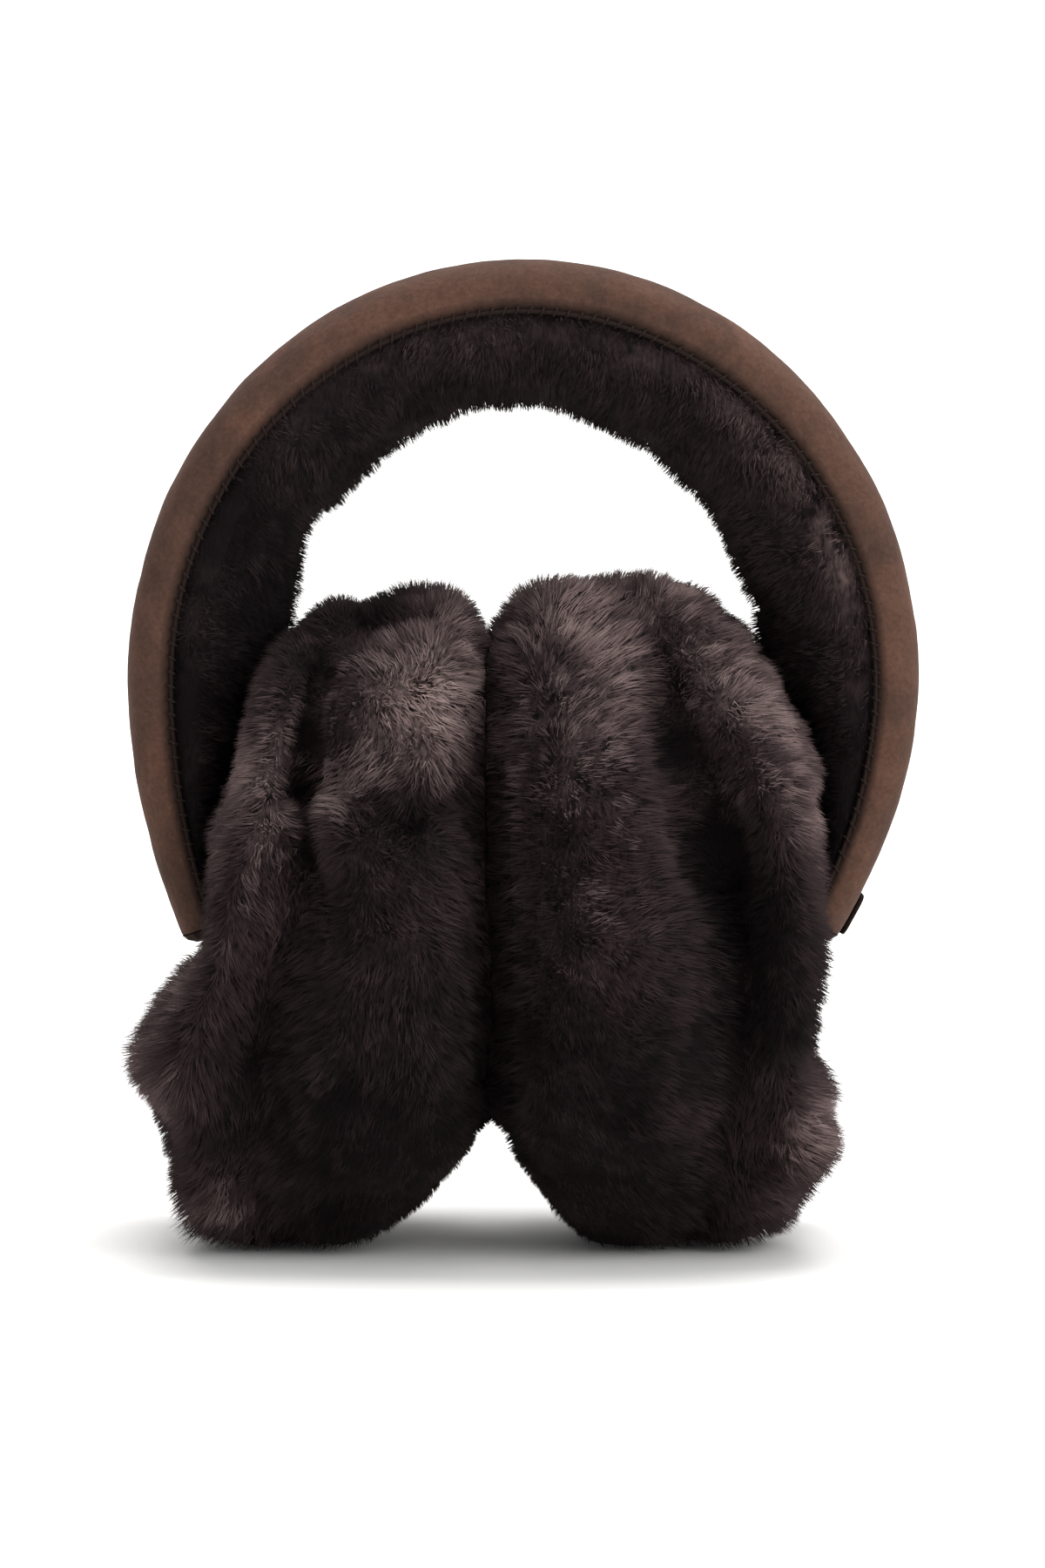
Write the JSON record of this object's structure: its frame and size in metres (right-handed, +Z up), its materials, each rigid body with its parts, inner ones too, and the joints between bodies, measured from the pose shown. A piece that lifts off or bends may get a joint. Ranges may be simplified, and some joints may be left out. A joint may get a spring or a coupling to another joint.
{
  "type": "fur earmuffs",
  "caption": "Fur earmuffs: a padded sprung headband with a suede cover and fur lining, and two thick round fur ear pads that press together.",
  "frame": {"origin": "bottom centre of the object's box, on the surface it stands on, under the middle of the headband", "axes": "+X from the left ear pad to the right one as seen from the front, -Y towards the viewer at the front, +Z up"},
  "size_m": [0.1668, 0.1274, 0.2087],
  "materials": {
    "suede": "matt brown suede with a short nap",
    "lining_fur": "dense dark brown shearling",
    "pad_fur": "deep dark brown shearling with lighter tips",
    "edge_leather": "thin dark brown leather"
  },
  "bodies": {
    "root": {"headband_cover": "suede", "headband_lining": "lining_fur", "left_band_end_hem": "suede", "right_band_end_hem": "suede", "left_pad_inner_fur": "pad_fur", "left_pad_outer_fur": "pad_fur", "right_pad_inner_fur": "pad_fur", "right_pad_outer_fur": "pad_fur", "side_tab": "edge_leather"}
  },
  "joints": []
}
